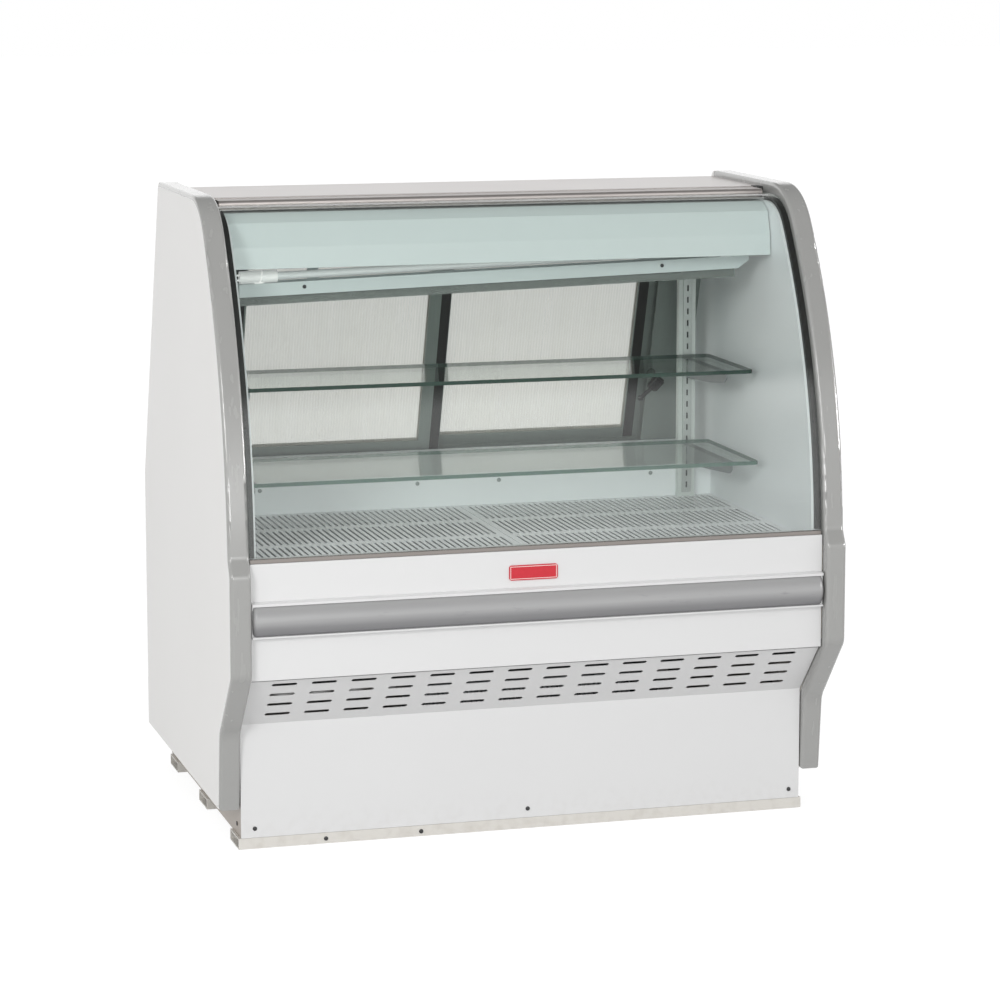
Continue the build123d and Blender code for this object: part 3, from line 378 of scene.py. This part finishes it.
black_vinyl = moulded("black_vinyl", "100F0E", 0.45, 380)
dress(black_vinyl, "glass_seals", "door_left_strips", "door_right_strips", "glass_hinge_bushes")
dress(brushed("anodised_hinge", "A9A3A0", 0.38), "glass_hinge_profile", "top_rail")
dress(brushed("anodised_edge", "7F7A76", 0.34), "glass_edge_rail")
dress(brushed("pin_steel", "B4B5B8", 0.2, (1, 0.05, 1), 1.0), "glass_hinge_pins")


# ---- Lining, canopy and lamp --------------------------------------------------
# The lining and the canopy are smooth white sheet, which looks cool and green
# behind glass; the canopy's copy is darker, as painted shade. The lamp hangs a little lower at its left end.
def lining(name, colour, roughness=0.3):
    """Smooth painted lining with faint clouding and a few hairline wipe marks."""
    material, shader, place = start_finish(name, colour, roughness)
    cloud = noise(place, 3, 3)
    wipe = spread(noise(place, 25, 4, (0.15, 1, 1)), 0.55, 0.75)
    feed(shader, "Base Color", between(cloud, shade(colour, 0.97), tone(colour)))
    feed(shader, "Roughness", roughness - 0.05 + cloud * 0.1 + wipe * 0.12)
    feed(shader, "Normal", bump(noise(place, 300, 2), 0.05, 0.0002))
    return material


dress(lining("lining_white", "EDEFF1"), "end_liner_left", "end_liner_right", "tub_liner", "duct_cover")
# The canopy's paint is the lining's white made darker: painted shade under the top.
dress(lining("canopy_white_painted_shade", "D0D8D8"), "canopy_liner")

STANDARD_HALF_W = 0.010
SLOT_SHADE_HALF_W = 0.0085


def post_paint():
    """Lining paint, with a near-black strip of painted shade behind the slotted standards, seen through their
    slots.
    """
    material, shader, place = start_finish("post_white", "CBD0CD", 0.3)
    low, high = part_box("pilasters")
    across, _, up = axes(place)
    middle = high[0] - STANDARD_HALF_W
    off_middle = absolute(absolute(across) - middle)
    slot_shade_mask = (off_middle < SLOT_SHADE_HALF_W) * (up < high[2]) * (up > low[2])
    cloud = noise(place, 6, 3)
    paint = between(cloud, tone("C6CBC8"), tone("D0D5D2"))
    # Painted shade: the strip behind the standards' slots is near black.
    feed(shader, "Base Color", between(slot_shade_mask, paint, tone("1C201F")))
    feed(shader, "Roughness", 0.28 + cloud * 0.1)
    return material


dress(post_paint(), "rear_posts")
dress(lining("lamp_channel_paint", "C9D2D2"), "lamp_channel")
lamp_white = moulded("lamp_white", "F6F6F4", 0.3, 400)
tube_glass = moulded("tube_glass", "EDF1F1", 0.08, 200, 0.6)
# The lamp is off: the faint emission on its holders and tube is a painted glow that stands in for light they
# catch.
for milky, glow in ((lamp_white, 0.22), (tube_glass, 0.12)):
    shader = milky.node_tree.nodes["Principled BSDF"]
    shader.inputs["Emission Color"].default_value = (1, 1, 1, 1)
    shader.inputs["Emission Strength"].default_value = glow
dress(lamp_white, "lamp_holders")
dress(tube_glass, "lamp_tube")


def tinted_lens():
    """Clear grey plastic, mostly see-through."""
    material, shader, place = start_finish("tinted_lens", "7C837F", 0.2)
    streak = noise(place, 30, 2, (0.05, 1, 1))
    feed(shader, "Alpha", 0.55 + streak * 0.2)
    return material


dress(tinted_lens(), "lamp_diffuser")


# ---- Rear doors --------------------------------------------------------------
# Aluminium frames round pale ribbed panes that glow with the light behind them.
RIB_PITCH = 0.0062


def ribbed_pane():
    """Twin-wall pane with fine upright ribs, part see-through."""
    material, shader, place = start_finish("ribbed_pane", "DDD6CC", 0.35)
    across = axes(place)[0]
    turns = across * (2 * math.pi / RIB_PITCH)
    rib = turns.math("SINE", turns) * 0.5 + 0.5
    streak = noise(place, 40, 3, (1, 0.04, 0.04))
    feed(shader, "Base Color", between(streak, tone("D8D0C5"), tone("F3ECE1")))
    feed(shader, "Alpha", 0.28 + rib * 0.05 + streak * 0.1)
    feed(shader, "Normal", bump(rib, 0.5, 0.001))
    return material


dress(ribbed_pane(), "door_left_pane", "door_right_pane")
dress(brushed("mill_aluminium", "8A928E", 0.4, (1, 0.04, 0.04), 0.5),
      "rear_door_frame", "door_left_frame", "door_right_frame")


# ---- Deck, shelf standards and brackets ---------------------------------------
# White coated slotted pans; zinc plated standards and brackets; the sheet metal
# under the deck.
def plated(name, colour, roughness, metallic=0.9):
    """Zinc plate with its faint spangle."""
    material, shader, place = start_finish(name, colour, roughness, Metallic=metallic)
    cell = place.node("ShaderNodeTexVoronoi", None, {"Vector": place, "Scale": 160.0}, output=1)
    grey = axes(cell)[0]
    feed(shader, "Base Color", between(grey, shade(colour, 0.96), shade(colour, 1.02)))
    feed(shader, "Roughness", roughness - 0.06 + grey * 0.12)
    return material


dress(powder_coat("deck_coat", "F5F4F6", 0.0, 0.4), "deck_pan_left", "deck_pan_right")
dress(plated("pilaster_zinc", "B4B8B6", 0.38, 0.5), "pilasters")
dress(plated("bracket_zinc", "84888A", 0.42, 0.5), "shelf_brackets")
dress(plated("galvanised", "9A9D9F", 0.5, 0.6), "evaporator_fan_plate")


def tub_skin():
    """Bright zinc at the back; behind the front grille it is dull and near black, painted shade for the dark
    seen through the slots.
    """
    material, shader, place = start_finish("tub_skin", "B6B9BB", 0.5)
    grille_shade_mask = axes(place)[1] < -0.2
    spangle = noise(place, 45, 2)
    zinc = between(spangle, tone("AEB1B3"), tone("BEC1C2"))
    # Painted shade: near black where it shows through the grille slots.
    feed(shader, "Base Color", between(grille_shade_mask, zinc, tone("2C2D2E")))
    feed(shader, "Metallic", (1 - grille_shade_mask) * 0.5)
    feed(shader, "Roughness", 0.45 + grille_shade_mask * 0.25)
    return material


dress(tub_skin(), "tub_shell")


# ---- Screws ------------------------------------------------------------------
# Pan heads with a sunk cross, black outside and grey inside the case. They stand
# where the CAD's plain heads are.
def piece(name, mesh, body, material):
    """New object at the origin that rides on a body and takes its finish from a slot."""
    made = bpy.data.objects.new(name, mesh)
    scene.collection.objects.link(made)
    mesh.materials.clear()
    mesh.materials.append(material)
    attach(made, body)
    return made


def lathe(work, outline, turns=24):
    """Close a (radius, height) outline round Z and give the new vertices."""
    circles = []
    for radius, height in outline:
        count = turns if radius > 0 else 1
        angles = [2 * math.pi * i / turns for i in range(count)]
        circles.append([work.verts.new((radius * math.cos(a), radius * math.sin(a), height)) for a in angles])
    for low, high in zip(circles, circles[1:]):
        for i in range(turns):
            j = i + 1
            corners = [low[i % len(low)], low[j % len(low)], high[j % len(high)], high[i % len(high)]]
            work.faces.new(list(dict.fromkeys(corners)))
    return [vert for circle in circles for vert in circle]


def islands(name):
    """Lowest and highest corner of each loose part of a CAD node."""
    work = bmesh.new()
    work.from_mesh(nodes[name].data)
    bmesh.ops.remove_doubles(work, verts=work.verts, dist=1e-6)
    boxes = []
    left = set(work.verts)
    while left:
        queue = [left.pop()]
        group = list(queue)
        while queue:
            for edge in queue.pop().link_edges:
                for vert in edge.verts:
                    if vert in left:
                        left.remove(vert)
                        queue.append(vert)
                        group.append(vert)
        places = [vert.co for vert in group]
        low = Vector([min(p[i] for p in places) for i in range(3)])
        high = Vector([max(p[i] for p in places) for i in range(3)])
        boxes.append((low, high))
    work.free()
    return boxes


def finish_mesh(work, name, smooth=35):
    """Turn a bmesh into a mesh with clean outward faces, smooth up to an angle."""
    bmesh.ops.recalc_face_normals(work, faces=work.faces)
    mesh = bpy.data.meshes.new(name)
    work.to_mesh(mesh)
    work.free()
    mesh.polygons.foreach_set("use_smooth", [True] * len(mesh.polygons))
    mesh.set_sharp_from_angle(angle=math.radians(smooth))
    return mesh


def cross_recess(work, verts, radius, depth):
    """Sink a cross into the flat top that these vertices make."""
    top = max(vert.co.z for vert in verts)
    for turn in (0, 90):
        arm = bmesh.ops.create_cube(work, size=1)["verts"]
        bmesh.ops.scale(work, vec=(radius * 1.1, radius * 0.26, depth), verts=arm)
        bmesh.ops.translate(work, vec=(0, 0, top - depth * 0.45), verts=arm)
        bmesh.ops.rotate(work, matrix=Matrix.Rotation(math.radians(turn), 3, "Z"), verts=arm)
        verts += arm
    return verts


def screw_heads():
    """One domed head for each plain one, facing the way the plain one does."""
    work = bmesh.new()
    for low, high in islands("screws"):
        size = high - low
        thin = min(range(3), key=lambda i: size[i])
        radius = sorted(size)[1] / 2
        height = size[thin]
        outline = [
            (radius, 0), (radius, height * 0.35), (radius * 0.86, height * 0.78),
            (radius * 0.55, height), (0, height),
        ]
        verts = cross_recess(work, lathe(work, outline), radius, height * 0.5)
        centre = (low + high) / 2
        if thin == 0:
            side = 1 if centre.x > 0 else -1
            turn = Matrix.Rotation(math.radians(90 * side), 3, "Y")
            base = Vector((low.x if side > 0 else high.x, centre.y, centre.z))
        else:
            turn = Matrix.Rotation(math.radians(90), 3, "X")
            base = Vector((centre.x, high.y, centre.z))
        bmesh.ops.rotate(work, matrix=turn, verts=verts)
        bmesh.ops.translate(work, vec=base, verts=verts)
    return finish_mesh(work, "screw_heads")


def screw_finish():
    """Black outside, grey enamel on the ones inside the case."""
    material, shader, place = start_finish("screw_finish", "1D1D1E", 0.3)
    inside = axes(place)[1] > 0.1
    wear_and_sheen = noise(place, 900, 2)
    black = between(wear_and_sheen, tone("171718"), tone("262627"))
    feed(shader, "Base Color", between(inside, black, tone("8F9694")))
    feed(shader, "Roughness", 0.25 + wear_and_sheen * 0.2)
    return material


screw_piece = piece("screw_heads", screw_heads(), "case", screw_finish())
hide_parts("screws")


# ---- Name plate ----------------------------------------------------------------
# A blank red plate with a thin pale line set in from its edge. It carries no words
# or sign.
def plate_paint():
    """Red enamel, and a pale line where the nearer edge is 2.2 to 3.4 mm away."""
    material, shader, place = start_finish("plate_enamel", "BE1126", 0.4)
    low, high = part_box("name_plate")
    x, _, z = axes(place)
    middle = (low + high) / 2
    along = absolute(x - middle[0]) - (high[0] - low[0]) / 2
    above = absolute(z - middle[2]) - (high[2] - low[2]) / 2
    inset = along.math("MAXIMUM", along, above)
    line = (inset > -0.0034) * (inset < -0.0022)
    fleck = noise(place, 120, 2)
    enamel = between(fleck, tone("B80D20"), tone("C8172C"))
    feed(shader, "Base Color", between(line, enamel, tone("E7D5D2")))
    feed(shader, "Roughness", 0.36 + fleck * 0.1)
    return material


dress(plate_paint(), "name_plate")


# ---- Door catch ------------------------------------------------------------------
# A small black moulded catch on the right jamb of the rear doors: a rounded body
# on a round boss, its lever down to the left, and a ring above it.
CATCH_Z = 0.812
CATCH_ASIDE = 0.030


def rounded_block(work, size, place, turn, round_by):
    """Block with bevelled edges, turned about Y and moved; gives its vertices."""
    block = bmesh.ops.create_cube(work, size=1)["verts"]
    bmesh.ops.scale(work, vec=size, verts=block)
    edges = list({edge for vert in block for edge in vert.link_edges})
    made = bmesh.ops.bevel(work, geom=edges, offset=round_by, segments=3, affect="EDGES")
    verts = list({vert for face in made["faces"] for vert in face.verts})
    bmesh.ops.rotate(work, matrix=Matrix.Rotation(math.radians(turn), 3, "Y"), verts=verts)
    bmesh.ops.translate(work, vec=place, verts=verts)
    return verts


def ring(work, radius, wire, place):
    """Round wire ring that faces the front."""
    count, sides = 28, 10
    loops = []
    for i in range(count):
        angle = 2 * math.pi * i / count
        loop = []
        for j in range(sides):
            part = 2 * math.pi * j / sides
            reach = radius + wire * math.cos(part)
            spot = Vector((reach * math.cos(angle), wire * math.sin(part), reach * math.sin(angle)))
            loop.append(work.verts.new(spot + Vector(place)))
        loops.append(loop)
    for i in range(count):
        near, far = loops[i], loops[(i + 1) % count]
        for j in range(sides):
            work.faces.new((near[j], near[(j + 1) % sides], far[(j + 1) % sides], far[j]))


def frame_face(z):
    """Y of the door frame's inner face at a height, and its lean towards the front."""
    points = [vert.co for vert in nodes["rear_door_frame"].data.vertices]
    head = min(points, key=lambda p: (round(p.y, 4), -p.z))
    foot = min(points, key=lambda p: (round(p.z, 4), p.y))
    slope = (head.y - foot.y) / (head.z - foot.z)
    return foot.y + slope * (z - foot.z), math.atan(-slope)


def door_catch():
    """Catch, seen from the front: body, boss, lever and ring."""
    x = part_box("door_right_strips")[1][0] + CATCH_ASIDE
    z = CATCH_Z
    y, lean = frame_face(z)
    work = bmesh.new()
    rounded_block(work, (0.026, 0.016, 0.034), (0, -0.008, 0), 38, 0.004)
    boss = lathe(work, [(0, 0.019), (0.007, 0.019), (0.0085, 0.0165), (0.0085, 0)], 20)
    bmesh.ops.rotate(work, matrix=Matrix.Rotation(math.radians(90), 3, "X"), verts=boss)
    rounded_block(work, (0.009, 0.008, 0.040), (-0.019, -0.010, -0.020), 45, 0.003)
    rounded_block(work, (0.015, 0.010, 0.013), (-0.033, -0.010, -0.034), 45, 0.004)
    ring(work, 0.009, 0.0018, (-0.014, -0.006, 0.026))
    bmesh.ops.rotate(work, matrix=Matrix.Rotation(lean, 3, "X"), verts=work.verts)
    bmesh.ops.translate(work, vec=(x, y, z), verts=work.verts)
    return finish_mesh(work, "door_catch")


catch_black = moulded("catch_black", "060606", 0.5, 500)
piece("door_catch", door_catch(), "case", catch_black)


# ---- Cooling parts ---------------------------------------------------------------
# Seen through the grille, the deck slots and the open back: bare fins, copper,
# painted motors and the black compressor.
def foam_skin():
    """Rigid foam, pale cream with fine cells."""
    material, shader, place = start_finish("rigid_foam", "D6D0BD", 0.85)
    cell = noise(place, 260, 3)
    feed(shader, "Base Color", between(cell, tone("CBC4AF"), tone("E0DBCA")))
    feed(shader, "Normal", bump(cell, 0.5, 0.001))
    return material


dress(foam_skin(), "foam_insulation")
dress(brushed("coil_fins", "A9AEB0", 0.35, (1, 1, 0.05), 0.9), "evaporator_coil", "condenser_coil")
dress(moulded("motor_grey", "5D6062", 0.45, 300), "evaporator_fan_motor", "condenser_fan_motor")
dress(brushed("fan_blades", "B5B8BA", 0.35, (1, 0.05, 1), 0.9), "evaporator_fan", "condenser_fan")
dress(moulded("compressor_black", "1B1C1E", 0.35, 250, 0.4), "compressor")
dress(brushed("copper", "B8714A", 0.3, (0.3, 0.3, 0.3), 1.0), "refrigerant_lines")
dress(moulded("drain_grey", "8F9294", 0.45, 300), "drain_tube")


# ---- Rear controls -----------------------------------------------------------------
# Control box with its gland and rocker, a dial with plain numbers round the knob,
# and a pressed hood over each louvre slot.
dress(moulded("control_plastic", "2B2C2E", 0.45, 500), "control_box")
dress(moulded("knob_black", "161617", 0.38, 600), "thermostat_knob")
dress(moulded("rocker_black", "202123", 0.3, 600), "light_switch")

TO_REAR = Matrix(((-1, 0, 0), (0, 0, 1), (0, 1, 0)))
KNOB_TURN = 270
DIAL_STEPS = 7
NUMBER_RADIUS = 0.0265
TICK_RADIUS = 0.0205
POINTER_RADIUS = 0.0095
ROCKER_STANDS_OUT = 0.0048


def dial_place(turn, radius):
    """Place on the dial, from behind the case, clockwise from straight up, round the knob."""
    low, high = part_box("thermostat_knob")
    centre = (low + high) / 2
    angle = math.radians(turn)
    return Vector((centre[0] - radius * math.sin(angle), 0, centre[2] + radius * math.cos(angle)))


def dial_marks():
    """Raised numbers from 0 to 7 with a tick at each."""
    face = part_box("light_switch")[1][1] - ROCKER_STANDS_OUT
    work = bmesh.new()
    for step in range(DIAL_STEPS + 1):
        turn = KNOB_TURN * (step / DIAL_STEPS - 0.5)
        text = bpy.data.curves.new("dial_number", "FONT")
        text.body = str(step)
        text.size = 0.0075
        text.extrude = 0.0002
        text.align_x = "CENTER"
        text.align_y = "CENTER"
        holder = bpy.data.objects.new("dial_number", text)
        mesh = bpy.data.meshes.new_from_object(holder)
        place = dial_place(turn, NUMBER_RADIUS)
        place.y = face
        mesh.transform(Matrix.Translation(place) @ TO_REAR.to_4x4())
        work.from_mesh(mesh)
        bpy.data.objects.remove(holder)
        bpy.data.meshes.remove(mesh)
        tick = bmesh.ops.create_cube(work, size=1)["verts"]
        bmesh.ops.scale(work, vec=(0.0006, 0.0004, 0.0024), verts=tick)
        bmesh.ops.rotate(work, matrix=Matrix.Rotation(math.radians(-turn), 3, "Y"), verts=tick)
        bmesh.ops.translate(work, vec=dial_place(turn, TICK_RADIUS) + Vector((0, face, 0)), verts=tick)
    return finish_mesh(work, "dial_marks")


def knob_pointer():
    """Pale line on the knob's face, at the dial's 0 when the knob is at rest."""
    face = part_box("thermostat_knob")[1][1]
    start = -KNOB_TURN / 2
    work = bmesh.new()
    line = bmesh.ops.create_cube(work, size=1)["verts"]
    bmesh.ops.scale(work, vec=(0.0014, 0.0005, 0.008), verts=line)
    bmesh.ops.rotate(work, matrix=Matrix.Rotation(math.radians(-start), 3, "Y"), verts=line)
    bmesh.ops.translate(work, vec=dial_place(start, POINTER_RADIUS) + Vector((0, face, 0)), verts=line)
    return finish_mesh(work, "knob_pointer")


LOUVRE_CENTRES = [-0.48 + 0.075 * i for i in range(10)]
LOUVRE_ROWS = [0.130 + 0.030 * i for i in range(5)]
HOOD_HALF_W = 0.031
HOOD_HEIGHT = 0.010
HOOD_BULGE = 0.0065


def hood_grid(work, centre_x, slot_z, face):
    """One hood's open sheet: flat on the panel at its top, and bulged out at its lower lip."""
    columns, rows = 12, 6
    grid = []
    for i in range(columns + 1):
        across = 2 * i / columns - 1
        bulge = HOOD_BULGE * (1 - abs(across) ** 3)
        line = []
        for j in range(rows + 1):
            angle = math.pi / 2 * j / rows
            z = slot_z - 0.001 + HOOD_HEIGHT * math.cos(angle)
            spot = (centre_x + across * HOOD_HALF_W, face + bulge * math.sin(angle), z)
            line.append(work.verts.new(spot))
        grid.append(line)
    for left, right in zip(grid, grid[1:]):
        for j in range(rows):
            work.faces.new((left[j], left[j + 1], right[j + 1], right[j]))


def louvre_hoods():
    """Pressed hoods: each bulges out over its slot and is open underneath."""
    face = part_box("service_panel")[1][1]
    work = bmesh.new()
    for centre_x in LOUVRE_CENTRES:
        for slot_z in LOUVRE_ROWS:
            hood_grid(work, centre_x, slot_z, face)
    bmesh.ops.remove_doubles(work, verts=work.verts, dist=1e-6)
    bmesh.ops.recalc_face_normals(work, faces=work.faces)
    bmesh.ops.solidify(work, geom=work.faces[:], thickness=0.0007)
    return finish_mesh(work, "louvre_hoods", 50)


dial_white = moulded("dial_white", "E4E4E2", 0.4, 600)
piece("dial_marks", dial_marks(), "case", dial_white)
piece("knob_pointer", knob_pointer(), "thermostat", dial_white)
piece("louvre_hoods", louvre_hoods(), "case", white_coat)
